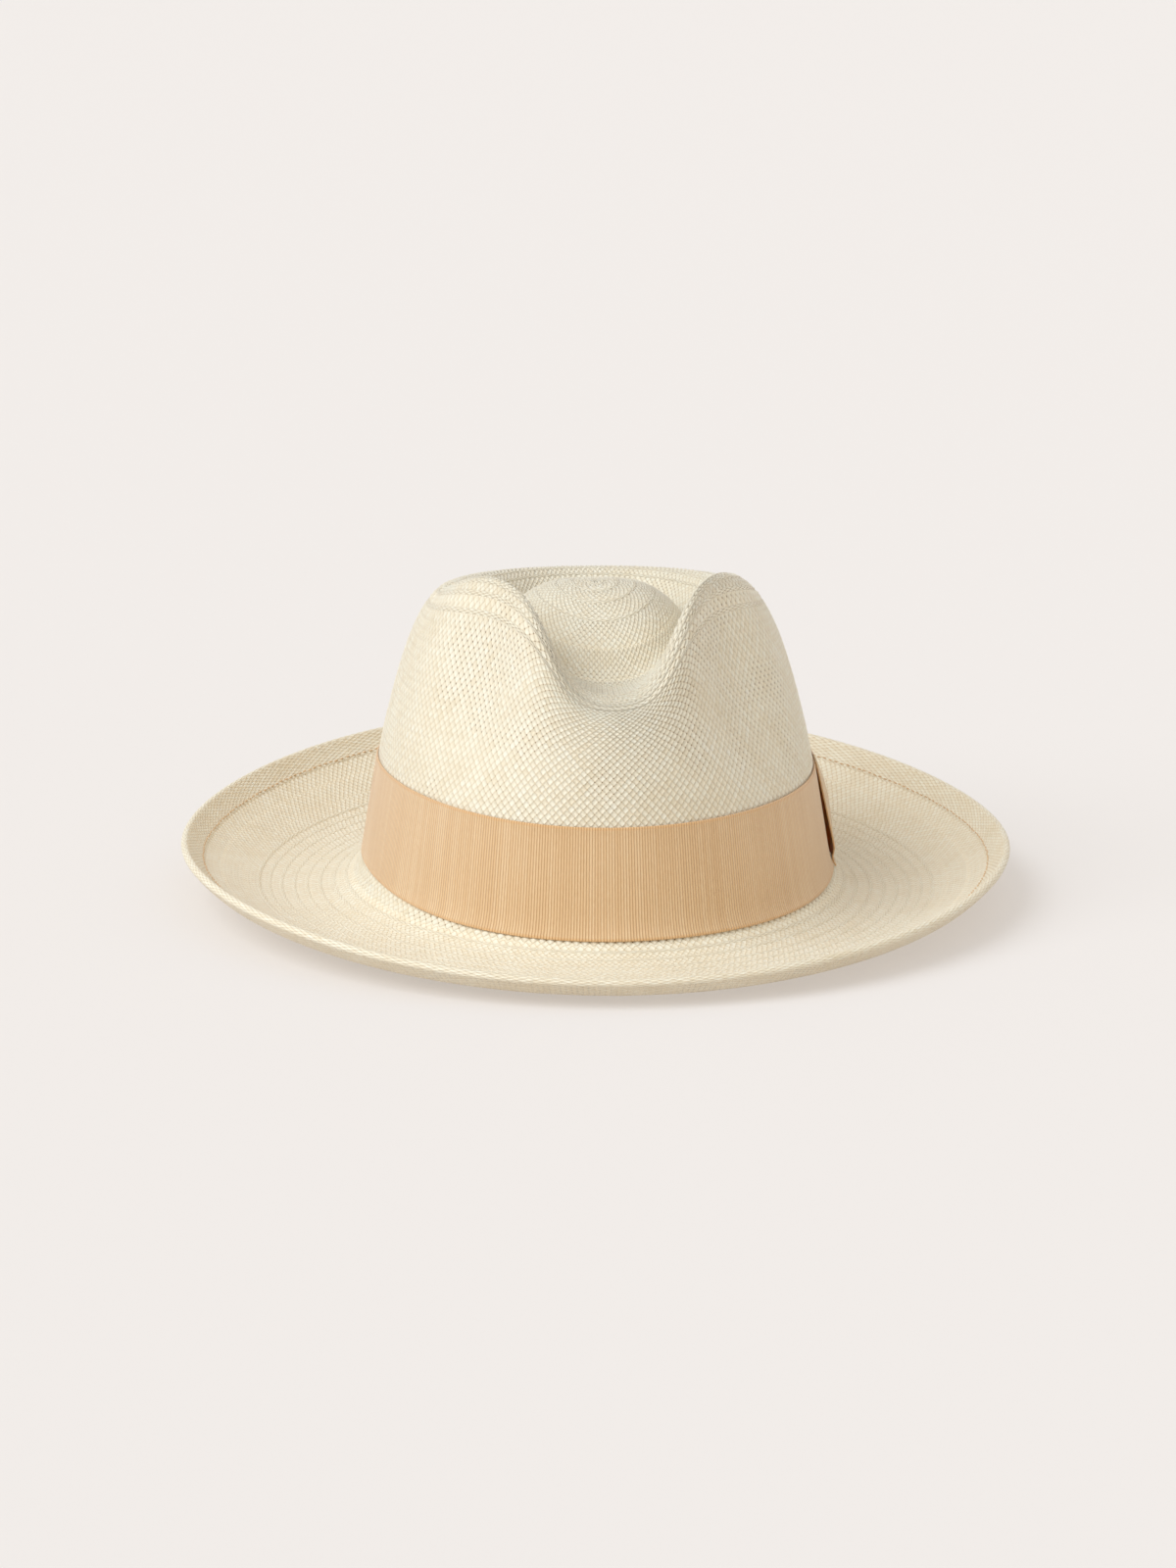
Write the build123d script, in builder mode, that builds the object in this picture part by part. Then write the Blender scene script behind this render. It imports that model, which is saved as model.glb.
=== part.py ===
from build123d import *
import functools
import math
import os

# Panama hat. Millimetres, +Z up, the wearer's front faces -Y and the wearer's left is +X.
# The hat stands on its brim: z = 0 is the lowest point of the brim and the origin is the
# middle of the hat's footprint.

# ---------------------------------------------------------------- driving dimensions
BRIM_LENGTH = 324.0        # brim edge, front to back
BRIM_WIDTH = 291.0         # brim edge, side to side
HEAD_LENGTH = 206.0        # outside of the crown at its base, front to back
HEAD_WIDTH = 164.0         # outside of the crown at its base, side to side
CROWN_BASE_Z = 9.47        # level of the crown base above the table
STRAW = 1.2                # thickness of the woven straw
HEM_THICKNESS = 2.6        # straw, turned-under straw and stitching together
RIBBON_HEIGHT = 38.0       # grosgrain ribbon round the crown
RIBBON = 0.5               # thickness of the ribbon
GAP = 0.3                  # clearance between the straw and what is sewn to it

# Pinched front: two dents below the shoulders of the crown.
PINCH_DEPTH = 10.0
PINCH_ANGLE = math.radians(44)
PINCH_SPREAD = math.radians(17)
# Shoulders: the two high points at the front of the crown.
SHOULDER_ANGLE = math.radians(57)
SHOULDER_SPREAD = math.radians(31)
# Front notch between the shoulders.
NOTCH_HALF_WIDTH = 22.5
NOTCH_FLARE = 33.0
NOTCH_FLARE_SHARE = 0.3

# Closed control rings from the middle of the top to the brim edge, above the crown base:
# half width, front half length, back half length, then height at the side, front and back,
# then how much the ring takes of the notch (mm), the pinch (0 to 1) and the shoulders (mm).
RINGS = [
    (0, 0, 0, 103, 103, 103, 0, 0, 0),                 # rosette
    (9, 12, 11, 103, 102, 102, 0, 0, 0),
    (19, 28, 25, 101, 97, 99, 0, 0, 0),
    (28, 45, 38, 95, 89, 92, 0, 0, 0),                 # island of the telescope crease
    (33.5, 58, 49, 86, 80, 83, 0, 0, 0),               # valley round the island
    (37, 67, 58, 87, 92, 85, 14, 0, 7),
    (45, 78, 69, 98, 114, 96, 37, 0, 15),              # crest
    (54, 84.5, 77, 100.5, 111, 92, 35, 0.6, 12),
    (64, 89, 86, 88, 91, 80, 17, 1, 2),
    (71, 93, 92, 66, 66, 62, 4, 0.7, 0),               # upper wall
    (76.5, 97.5, 97.5, 43, 43, 43, 0, 0, 0),           # top of the ribbon
    (79.5, 100.5, 100.5, 23, 23, 23, 0, 0, 0),
    (HEAD_WIDTH / 2, HEAD_LENGTH / 2, HEAD_LENGTH / 2, 6, 6, 6, 0, 0, 0),
    (85, 106, 106, -3, -3.5, -3, 0, 0, 0),             # crown turns into brim
    (98, 118, 118, -7.8, -8, -8.3, 0, 0, 0),
    (118, 138, 138, -7, -8.6, -3.5, 0, 0, 0),          # bottom of the dish
    (130.5, 149.5, 149.5, -1, -7.2, 7, 0, 0, 0),
    (140, 157.5, 157.5, 3.8, -4.2, 13.8, 0, 0, 0),     # curled edge begins
    (BRIM_WIDTH / 2, BRIM_LENGTH / 2, BRIM_LENGTH / 2, 10, 0.3, 20.5, 0, 0, 0),
]
EDGE = len(RINGS) - 1
HEM_START = EDGE - 1.0     # ring parameter where the turned-under hem begins
RING_POINTS = 48


# ---------------------------------------------------------------- the hat's outer surface
def ring_point(index, angle):
    """Point of one control ring. The angle is 0 at the front and grows towards the left ear."""
    half_width, front, back, z_side, z_front, z_back, notch, pinch, shoulder = RINGS[index]
    ahead = math.cos(angle) > 0
    x = half_width * math.sin(angle)
    y = -(front if ahead else back) * math.cos(angle)
    share = math.cos(angle) ** 2
    z = z_side + ((z_front if ahead else z_back) - z_side) * share
    z += shoulder * math.exp(-(((abs(angle) - SHOULDER_ANGLE) / SHOULDER_SPREAD) ** 2))
    if ahead:
        sharp = math.exp(-((x / NOTCH_HALF_WIDTH) ** 4))
        flare = math.exp(-((x / NOTCH_FLARE) ** 2))
        z -= notch * ((1 - NOTCH_FLARE_SHARE) * sharp + NOTCH_FLARE_SHARE * flare)
    radius = max(math.hypot(x, y), 1e-9)
    dent = PINCH_DEPTH * pinch * math.exp(-(((abs(angle) - PINCH_ANGLE) / PINCH_SPREAD) ** 2))
    shrink = 1 - dent / radius
    return Vector(x * shrink, y * shrink, z + CROWN_BASE_Z)


def wrap(angle):
    return (angle + math.pi) % (2 * math.pi) - math.pi


def surface(ring, angle):
    """Outer surface: a uniform cubic B-spline through the control rings, 0 to EDGE."""
    angle = wrap(angle)
    start = min(int(ring), EDGE - 1)
    f = ring - start
    weights = ((1 - f) ** 3 / 6, (3 * f**3 - 6 * f**2 + 4) / 6,
               (-3 * f**3 + 3 * f**2 + 3 * f + 1) / 6, f**3 / 6)
    total = Vector(0, 0, 0)
    for weight, index in zip(weights, range(start - 1, start + 3)):
        if index < 0:
            point = ring_point(1, wrap(angle + math.pi))
        elif index > EDGE:
            point = ring_point(EDGE, angle) * 2 - ring_point(EDGE - 1, angle)
        else:
            point = ring_point(index, angle)
        total += point * weight
    return total


def skin(ring, angle, inward=0.0):
    """Point under the outer surface, measured along its normal."""
    step = 1e-3
    along = surface(min(ring + step, EDGE), angle) - surface(max(ring - step, 0), angle)
    across = surface(ring, angle + step) - surface(ring, angle - step)
    return surface(ring, angle) - along.cross(across).normalized() * inward


def ring_wire(points):
    return Wire([Edge.make_spline(points, periodic=True)])


def ring_angles():
    return [2 * math.pi * i / RING_POINTS - math.pi for i in range(RING_POINTS)]


def skin_ring(ring, inward, level=False):
    """Closed wire round the hat. A level ring lies flat, so that a disc can close it."""
    points = [skin(ring, angle, inward) for angle in ring_angles()]
    if level:
        mean = sum(point.Z for point in points) / len(points)
        points = [Vector(point.X, point.Y, mean) for point in points]
    return ring_wire(points)


def hem_ring(turn):
    """Ring on the rounded brim edge; turn runs from 0 at the top to 1 at the underside."""
    bulge = HEM_THICKNESS / 2 * math.sin(math.pi * turn)
    depth = HEM_THICKNESS / 2 * (1 - math.cos(math.pi * turn))
    points = []
    for angle in ring_angles():
        edge = skin(EDGE, angle, depth)
        outward = (surface(EDGE, angle) - surface(EDGE - 0.05, angle)).normalized()
        points.append(edge + outward * (bulge - HEM_THICKNESS / 2))
    return ring_wire(points)


def straw_thickness(ring):
    return HEM_THICKNESS if ring > HEM_START else STRAW


@functools.cache
def wall(level):
    """Half width and half length of the crown's outer surface at a height over its base."""
    low, high = 9.0, 14.0
    for _ in range(40):
        middle = (low + high) / 2
        if surface(middle, math.pi / 2).Z - CROWN_BASE_Z > level:
            low = middle
        else:
            high = middle
    return surface(low, math.pi / 2).X, -surface(low, 0).Y


def wall_point(level, angle, out):
    """Point beside the crown wall, out millimetres away from it."""
    half_width, half_length = wall(level)
    normal = Vector(math.sin(angle) / half_width, -math.cos(angle) / half_length, 0).normalized()
    foot = Vector(half_width * math.sin(angle), -half_length * math.cos(angle), 0)
    return foot + normal * out


# ---------------------------------------------------------------- straw body
top_rings = [0.4, 1.2, 2, 2.6, 3.2, 3.6, 4, 4.3, 4.6, 4.9, 5.2, 5.5, 5.8, 6.1, 6.4, 6.7, 7, 7.4,
             7.8, 8.3, 8.8, 9.4, 10, 10.7, 11.4, 12, 12.4, 12.8, 13.2, 13.7, 14.3, 15, 15.6,
             16.2, 16.7, HEM_START, HEM_START + 0.08, 17.4, 17.7]
outer = [skin_ring(ring, 0, level=ring < 1) for ring in top_rings]
edge = [hem_ring(turn / 6) for turn in range(1, 6)]
inner = [skin_ring(ring, straw_thickness(ring), level=ring < 1) for ring in reversed(top_rings)]
with BuildPart() as straw_body:
    add(Solid.make_loft(outer + edge + inner, ruled=True))
straw_body.part.label = "straw_body"

# ---------------------------------------------------------------- bands round the crown
def ovals(levels, out):
    """Oval sections that follow the crown wall, out millimetres away from it."""
    sections = []
    for level in levels:
        half_width, half_length = wall(level)
        with BuildSketch(Plane.XY.offset(CROWN_BASE_Z + level)) as oval:
            Ellipse(half_width + out, half_length + out)
        sections.append(oval.sketch)
    return sections


RIBBON_BOTTOM = 0.4
RIBBON_LEVELS = [RIBBON_BOTTOM + RIBBON_HEIGHT * share for share in (0, 0.1, 0.3, 0.6, 1)]
with BuildPart() as ribbon_band:
    loft(ovals(RIBBON_LEVELS, GAP + RIBBON))
    loft(ovals(RIBBON_LEVELS, GAP), mode=Mode.SUBTRACT)
ribbon_band.part.label = "ribbon_band"

SWEATBAND = 0.9
SWEATBAND_BOTTOM = 3.6
SWEATBAND_HEIGHT = 31.0
SWEATBAND_OUT = -STRAW - 0.6
SWEATBAND_LEVELS = [SWEATBAND_BOTTOM + SWEATBAND_HEIGHT * share for share in (0, 0.25, 0.6, 1)]
with BuildPart() as sweatband:
    loft(ovals(SWEATBAND_LEVELS, SWEATBAND_OUT))
    loft(ovals(SWEATBAND_LEVELS, SWEATBAND_OUT - SWEATBAND), mode=Mode.SUBTRACT)
sweatband.part.label = "sweatband"


def oval_path(level, out):
    """Closed oval that follows the crown wall, starting at the wearer's left."""
    half_width, half_length = wall(level)
    return Wire([Edge.make_ellipse(half_width + out, half_length + out,
                                   Plane.XY.offset(CROWN_BASE_Z + level))])


def tube_section(level, out, radius, bore=0.0):
    """Round section at the start of the oval path."""
    start = (wall(level)[0] + out, 0, CROWN_BASE_Z + level)
    with BuildSketch(Plane(origin=start, x_dir=(1, 0, 0), z_dir=(0, 1, 0))) as section:
        Circle(radius)
        if bore:
            Circle(bore, mode=Mode.SUBTRACT)
    return section.sketch


REED_RADIUS = 0.9
TAPE_RADIUS = 1.4
REED_LEVEL = SWEATBAND_BOTTOM - TAPE_RADIUS - 0.1
REED_OUT = SWEATBAND_OUT - TAPE_RADIUS
with BuildPart() as sweatband_reed:
    sweep(tube_section(REED_LEVEL, REED_OUT, REED_RADIUS), oval_path(REED_LEVEL, REED_OUT))
sweatband_reed.part.label = "sweatband_reed"

with BuildPart() as reed_tape:
    tape_section = tube_section(REED_LEVEL, REED_OUT, TAPE_RADIUS, REED_RADIUS + 0.05)
    sweep(tape_section, oval_path(REED_LEVEL, REED_OUT))
reed_tape.part.label = "reed_tape"

THREAD_RADIUS = 0.3
THREAD_LEVEL = SWEATBAND_BOTTOM + 2.5
THREAD_OUT = SWEATBAND_OUT - SWEATBAND - THREAD_RADIUS - 0.05
THREAD_LEVELS = (THREAD_LEVEL - THREAD_RADIUS, THREAD_LEVEL + THREAD_RADIUS)
with BuildPart() as sweatband_stitching:
    loft(ovals(THREAD_LEVELS, THREAD_OUT + THREAD_RADIUS))
    loft(ovals(THREAD_LEVELS, THREAD_OUT - THREAD_RADIUS), mode=Mode.SUBTRACT)
sweatband_stitching.part.label = "sweatband_stitching"


# ---------------------------------------------------------------- bow on the wearer's left
def strip_sketch(level, stations, thickness):
    """Section of a ribbon layer at one height. Stations are (degrees from front, distance out)."""
    near = [wall_point(level, math.radians(a), out) for a, out in stations]
    far = [wall_point(level, math.radians(a), out + thickness) for a, out in stations]
    with BuildSketch(Plane.XY.offset(CROWN_BASE_Z + level)) as section:
        with BuildLine():
            inside = Spline(*near)
            outside = Spline(*far)
            Line(inside @ 0, outside @ 0)
            Line(inside @ 1, outside @ 1)
        make_face()
    return section.sketch


def strip_sections(levels, stations_at, thickness):
    """Sections of a ribbon layer from its bottom edge to its top edge."""
    sections = []
    for share in (0, 0.25, 0.5, 0.75, 1):
        level = levels[0] + (levels[1] - levels[0]) * share
        sections.append(strip_sketch(level, stations_at(share), thickness))
    return sections


BAND_FACE = GAP + RIBBON
LAYER = 0.1                # air between sewn ribbon layers
BOW_LEVELS = (RIBBON_BOTTOM, RIBBON_BOTTOM + RIBBON_HEIGHT + 0.5)
LAP_OUT = BAND_FACE + LAYER
PANEL_OUT = LAP_OUT + RIBBON + LAYER
BOW_RIBBON = 0.6
PUFF = 0.55                # air where the bow's own layers bulge
LOOP_OUT = PANEL_OUT + BOW_RIBBON + PUFF
LOOP_RISE = 2.4            # height of the folded rear loop
KEEPER_OUT = LOOP_OUT + BOW_RIBBON + LOOP_RISE + BOW_RIBBON + PUFF


def lap_stations(share):
    return [(angle, LAP_OUT) for angle in (98, 103, 108, 113, 118)]


def panel_stations(share):
    """The front edge gapes: most at half height, least at the top."""
    gape = 1.0 + 2.2 * math.sin(math.pi * min(1, 0.25 + 0.75 * share))
    puff = 1.2 + 0.6 * share
    return [(84, LAP_OUT + gape - 0.4), (88, PANEL_OUT + gape * 0.8), (93, PANEL_OUT + puff),
            (98, PANEL_OUT + 0.5), (104, PANEL_OUT), (114, PANEL_OUT), (123, PANEL_OUT)]


with BuildPart() as ribbon_lap:
    loft(strip_sections(BOW_LEVELS, lap_stations, RIBBON))
ribbon_lap.part.label = "ribbon_lap"

with BuildPart() as bow_panel:
    loft(strip_sections(BOW_LEVELS, panel_stations, BOW_RIBBON))
bow_panel.part.label = "bow_panel"


def loop_sketch(level):
    """Folded loop: an inner layer, a round fold at the rear and an outer layer."""
    fold = LOOP_RISE / 2 + BOW_RIBBON
    inner_line = [(100, 0), (106, 0), (112, 0), (119, 0)]
    outer_line = [(119, 2 * fold - 2 * BOW_RIBBON), (112, LOOP_RISE), (106, LOOP_RISE), (100, LOOP_RISE)]
    base = LOOP_OUT + BOW_RIBBON

    def points(line, out):
        return [wall_point(level, math.radians(a), base + rise + out) for a, rise in line]

    with BuildSketch(Plane.XY.offset(CROWN_BASE_Z + level)) as section:
        with BuildLine():
            inside_low = Spline(*points(inner_line, 0))
            inside_high = Spline(*points(outer_line, 0))
            outside_low = Spline(*points(inner_line, -BOW_RIBBON))
            outside_high = Spline(*points(outer_line, BOW_RIBBON))
            inner_tip = wall_point(level, math.radians(119.7), base + LOOP_RISE / 2)
            outer_tip = wall_point(level, math.radians(120.1), base + LOOP_RISE / 2)
            ThreePointArc(inside_low @ 1, inner_tip, inside_high @ 0)
            ThreePointArc(outside_low @ 1, outer_tip, outside_high @ 0)
            Line(outside_low @ 0, inside_low @ 0)
            Line(inside_high @ 1, outside_high @ 1)
        make_face()
    return section.sketch


BOW_MIDDLE = sum(BOW_LEVELS) / 2
with BuildPart() as bow_loop:
    loft([loop_sketch(level) for level in (BOW_LEVELS[0], BOW_MIDDLE, BOW_LEVELS[1])])
bow_loop.part.label = "bow_loop"


def keeper_stations(share):
    return [(98.5, KEEPER_OUT), (100.5, KEEPER_OUT), (103, KEEPER_OUT), (106, KEEPER_OUT)]


KEEPER_LEVELS = (BOW_LEVELS[0], BOW_LEVELS[1] + 0.6)
with BuildPart() as bow_keeper:
    loft(strip_sections(KEEPER_LEVELS, keeper_stations, BOW_RIBBON))
bow_keeper.part.label = "bow_keeper"

# Thread bar tacks on the keeper's front edge, one near the bottom and one near the top.
TACK_LEVELS = (5, 34)
with BuildPart() as bow_tacks:
    for level in TACK_LEVELS:
        out = KEEPER_OUT + BOW_RIBBON + THREAD_RADIUS + 2 * LAYER
        here = wall_point(level, math.radians(102), out)
        ahead = wall_point(level, math.radians(102.5), out)
        place = Vector(here.X, here.Y, CROWN_BASE_Z + level)
        with Locations(Plane(origin=place, z_dir=ahead - here)):
            Cylinder(THREAD_RADIUS, 5)
bow_tacks.part.label = "bow_tacks"

# ---------------------------------------------------------------- inside, at the back
INSIDE_FACE = SWEATBAND_OUT - SWEATBAND
INSIDE_BOW_LEVEL = SWEATBAND_BOTTOM + 7

SEAM_TEETH = 7
SEAM_WIDTH = 2.6
with BuildPart() as sweatband_seam:
    for i in range(SEAM_TEETH):
        low = INSIDE_BOW_LEVEL + 8 + i * 2.2
        side = SEAM_WIDTH / 2 * (1 if i % 2 else -1)
        out = INSIDE_FACE - THREAD_RADIUS - 0.1
        start = wall_point(low, math.pi, out) + Vector(-side, 0, CROWN_BASE_Z + low)
        end = wall_point(low + 2.2, math.pi, out) + Vector(side, 0, CROWN_BASE_Z + low + 2.2)
        with Locations(Plane(origin=(start + end) / 2, z_dir=end - start)):
            Cylinder(THREAD_RADIUS, (end - start).length)
sweatband_seam.part.label = "sweatband_seam"

with BuildPart() as sweatband_bow:
    for side in (-1, 1):
        with BuildSketch(Plane.XY.offset(CROWN_BASE_Z + INSIDE_BOW_LEVEL - 2.5)):
            centre = wall_point(INSIDE_BOW_LEVEL, math.pi, INSIDE_FACE - 1.9)
            with Locations((side * 6.6, centre.Y - 0.75)):
                SlotOverall(9.6, 2.6)
                SlotOverall(8.4, 1.4, mode=Mode.SUBTRACT)
    extrude(amount=5)
sweatband_bow.part.label = "sweatband_bow"

with BuildPart() as sweatband_bow_knot:
    with Locations((0, centre.Y - 0.75, CROWN_BASE_Z + INSIDE_BOW_LEVEL)):
        Box(3.2, 3.0, 6)
    fillet(sweatband_bow_knot.edges(), 0.8)
sweatband_bow_knot.part.label = "sweatband_bow_knot"

LABEL_LEVELS = (16, 30)
LABEL = 0.3


def label_stations(share):
    return [(angle, INSIDE_FACE - LABEL - LAYER) for angle in (150, 155, 160, 165)]


with BuildPart() as size_label:
    loft(strip_sections(LABEL_LEVELS, label_stations, LABEL))
size_label.part.label = "size_label"

# ---------------------------------------------------------------- files
os.makedirs("parts", exist_ok=True)
for piece in (straw_body, ribbon_band, ribbon_lap, bow_panel, bow_loop, bow_keeper,
              bow_tacks, sweatband, sweatband_reed, reed_tape, sweatband_stitching, sweatband_seam,
              sweatband_bow, sweatband_bow_knot, size_label):
    export_step(piece.part, f"parts/{piece.part.label}.step")
    box = piece.part.bounding_box()
    print(piece.part.label, len(piece.part.solids()), round(piece.part.volume, 1), box)
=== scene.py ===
import math

import bmesh
import bpy
import numpy as np
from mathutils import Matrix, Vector


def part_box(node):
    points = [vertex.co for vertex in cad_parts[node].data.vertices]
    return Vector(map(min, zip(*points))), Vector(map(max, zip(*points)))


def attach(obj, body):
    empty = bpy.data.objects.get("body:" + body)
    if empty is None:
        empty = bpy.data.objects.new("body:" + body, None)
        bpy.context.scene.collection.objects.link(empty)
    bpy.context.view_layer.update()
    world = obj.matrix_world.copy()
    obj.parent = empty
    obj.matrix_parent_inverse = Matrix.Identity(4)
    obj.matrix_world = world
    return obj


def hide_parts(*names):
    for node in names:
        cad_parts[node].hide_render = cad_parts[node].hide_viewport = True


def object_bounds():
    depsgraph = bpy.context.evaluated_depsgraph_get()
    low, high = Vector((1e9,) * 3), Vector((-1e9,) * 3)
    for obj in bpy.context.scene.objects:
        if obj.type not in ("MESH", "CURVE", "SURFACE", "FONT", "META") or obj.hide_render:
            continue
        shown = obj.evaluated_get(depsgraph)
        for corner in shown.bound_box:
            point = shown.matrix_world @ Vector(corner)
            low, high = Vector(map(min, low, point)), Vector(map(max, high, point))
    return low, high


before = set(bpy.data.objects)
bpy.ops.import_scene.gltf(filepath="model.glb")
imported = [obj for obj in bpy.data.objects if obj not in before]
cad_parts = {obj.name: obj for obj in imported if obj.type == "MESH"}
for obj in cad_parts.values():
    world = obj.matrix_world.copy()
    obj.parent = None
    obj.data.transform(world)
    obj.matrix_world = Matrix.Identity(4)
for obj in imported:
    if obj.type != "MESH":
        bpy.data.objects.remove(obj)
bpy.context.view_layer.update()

MM = 0.001

# ---- sizes, some of them taken from the frame
RIBBON_BOTTOM = 0.4 * MM  # ribbon's lower edge above the crown base
BASE_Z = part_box("ribbon_band")[0].z - RIBBON_BOTTOM
HALF_WIDTH, HALF_LENGTH = 145.5, 162.0  # brim edge, millimetres
RIBBON_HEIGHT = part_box("ribbon_band")[1].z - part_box("ribbon_band")[0].z
STRAW = 1.2 * MM  # thickness of the straw
HEM = 2.8 * MM  # thickness of the turned-under edge
HEM_RISE = 0.22 * MM  # its upper face over the plain straw
RIBBON = 0.5 * MM  # thickness of the ribbon
RIBBON_OUT = 0.45 * MM  # inner face of the ribbon off the straw


# ---- the hat's surface
# Same control rings as the CAD model, in millimetres above the crown base: half width, front and
# back half length, height at the side, front and back, notch depth, pinch share, shoulder rise.
RINGS = np.array([
    (0, 0, 0, 103, 103, 103, 0, 0, 0),
    (9, 12, 11, 103, 102, 102, 0, 0, 0),
    (19, 28, 25, 101, 97, 99, 0, 0, 0),
    (28, 45, 38, 95, 89, 92, 0, 0, 0),
    (33.5, 58, 49, 86, 80, 83, 0, 0, 0),
    (37, 67, 58, 87, 92, 85, 14, 0, 7),
    (45, 78, 69, 98, 114, 96, 37, 0, 15),
    (54, 84.5, 77, 100.5, 111, 92, 35, 0.6, 12),
    (64, 89, 86, 88, 91, 80, 17, 1, 2),
    (71, 93, 92, 66, 66, 62, 4, 0.7, 0),
    (76.5, 97.5, 97.5, 43, 43, 43, 0, 0, 0),
    (79.5, 100.5, 100.5, 23, 23, 23, 0, 0, 0),
    (82, 103, 103, 6, 6, 6, 0, 0, 0),
    (85, 106, 106, -3, -3.5, -3, 0, 0, 0),
    (98, 118, 118, -7.8, -8, -8.3, 0, 0, 0),
    (118, 138, 138, -7, -8.6, -3.5, 0, 0, 0),
    (130.5, 149.5, 149.5, -1, -7.2, 7, 0, 0, 0),
    (140, 157.5, 157.5, 3.8, -4.2, 13.8, 0, 0, 0),
    (HALF_WIDTH, HALF_LENGTH, HALF_LENGTH, 10, 0.3, 20.5, 0, 0, 0),
])
EDGE = len(RINGS) - 1
BASE_RING = 13.0
HEM_RING = 17.0
PINCH_DEPTH, PINCH_ANGLE, PINCH_SPREAD = 10, math.radians(44), math.radians(17)
SHOULDER_ANGLE, SHOULDER_SPREAD = math.radians(57), math.radians(31)
NOTCH_HALF_WIDTH, NOTCH_FLARE, NOTCH_FLARE_SHARE = 22.5, 33, 0.3


def wrap(angle):
    return (angle + math.pi) % (2 * math.pi) - math.pi


def once_round(columns):
    """Even angles once round the hat, starting at its back."""
    return np.arange(columns) / columns * 2 * math.pi - math.pi


def ring_points(angle):
    """Every control ring at the given angles: array of (ring, angle, xyz), in millimetres."""
    angle = wrap(angle)[None]
    width, front, back, z_side, z_front, z_back, notch, pinch, shoulder = RINGS.T[:, :, None]
    ahead = np.cos(angle) > 0
    x = width * np.sin(angle)
    y = -np.where(ahead, front, back) * np.cos(angle)
    z = z_side + (np.where(ahead, z_front, z_back) - z_side) * np.cos(angle) ** 2
    z = z + shoulder * np.exp(-(((np.abs(angle) - SHOULDER_ANGLE) / SHOULDER_SPREAD) ** 2))
    sharp = np.exp(-((x / NOTCH_HALF_WIDTH) ** 4))
    flare = np.exp(-((x / NOTCH_FLARE) ** 2))
    depth = (1 - NOTCH_FLARE_SHARE) * sharp + NOTCH_FLARE_SHARE * flare
    z = z - np.where(ahead, notch * depth, 0)
    dent = PINCH_DEPTH * pinch * np.exp(-(((np.abs(angle) - PINCH_ANGLE) / PINCH_SPREAD) ** 2))
    shrink = 1 - dent / np.maximum(np.hypot(x, y), 1e-9)
    return np.stack([x * shrink, y * shrink, z + 0 * x], axis=-1)


def surface(ring, angle):
    """Outer surface in metres at matching arrays of ring parameter and angle."""
    ring, angle = np.broadcast_arrays(np.asarray(ring, float), np.asarray(angle, float))
    shape = ring.shape
    ring, angle = np.clip(ring.ravel(), 0, EDGE), angle.ravel()
    rings = ring_points(angle)
    pole = ring_points(angle + math.pi)[1:2]
    beyond = 2 * rings[-1:] - rings[-2:-1]
    rings = np.concatenate([pole, rings, beyond])
    start = np.minimum(ring.astype(int), EDGE - 1)
    f = (ring - start)[:, None]
    pick = np.arange(len(ring))
    total = ((1 - f) ** 3 * rings[start, pick] + (3 * f**3 - 6 * f**2 + 4) * rings[start + 1, pick]
             + (-3 * f**3 + 3 * f**2 + 3 * f + 1) * rings[start + 2, pick]
             + f**3 * rings[start + 3, pick]) / 6
    return (total * MM + np.array([0, 0, BASE_Z])).reshape(*shape, 3)


def normals(ring, angle):
    """Unit normals of the outer surface, pointing out of the crown and up from the brim."""
    step = 1e-3
    along = surface(ring + step, angle) - surface(ring - step, angle)
    across = surface(ring, angle + step) - surface(ring, angle - step)
    found = np.cross(along, across)
    return found / np.maximum(np.linalg.norm(found, axis=-1, keepdims=True), 1e-12)


def skin(ring, angle, out):
    """Points at a distance out from the outer surface."""
    ring = np.asarray(ring, float)
    angle = np.asarray(angle, float)
    ring, angle, out = np.broadcast_arrays(ring, angle, out)
    return surface(ring, angle) + normals(ring, angle) * out[..., None]


# Mean length of the meridians and girth of the rings, to lay the weave at an even pitch.
TABLE_RINGS = np.linspace(0, EDGE, 341)
TABLE_ANGLES = np.linspace(-math.pi, math.pi, 73)
TABLE_POINTS = surface(TABLE_RINGS[:, None], TABLE_ANGLES[None])
TABLE_STEPS = np.linalg.norm(np.diff(TABLE_POINTS, axis=0), axis=-1).mean(axis=1)
TABLE_LENGTH = np.concatenate([[0], np.cumsum(TABLE_STEPS)])
TABLE_GIRTH = np.linalg.norm(np.diff(TABLE_POINTS, axis=1), axis=-1).sum(axis=1)


def length_at(ring):
    return np.interp(ring, TABLE_RINGS, TABLE_LENGTH)


def ring_at(length):
    return np.interp(length, TABLE_LENGTH, TABLE_RINGS)


def girth_at(ring):
    return np.interp(ring, TABLE_RINGS, TABLE_GIRTH)


# ---- mesh helpers
def make_object(name, points, faces, material, smooth=True):
    mesh = bpy.data.meshes.new(name)
    sizes = np.array([len(face) for face in faces], np.int32)
    corners = np.concatenate([np.asarray(face, np.int32) for face in faces])
    mesh.vertices.add(len(points))
    mesh.vertices.foreach_set("co", np.asarray(points, np.float32).ravel())
    mesh.loops.add(len(corners))
    mesh.loops.foreach_set("vertex_index", corners)
    mesh.polygons.add(len(sizes))
    mesh.polygons.foreach_set("loop_start", np.cumsum(sizes, dtype=np.int32) - sizes)
    mesh.update(calc_edges=True)
    mesh.validate()
    mesh.polygons.foreach_set("use_smooth", [smooth] * len(mesh.polygons))
    mesh.materials.append(material)
    piece = bpy.data.objects.new(name, mesh)
    bpy.context.scene.collection.objects.link(piece)
    return piece


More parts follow.
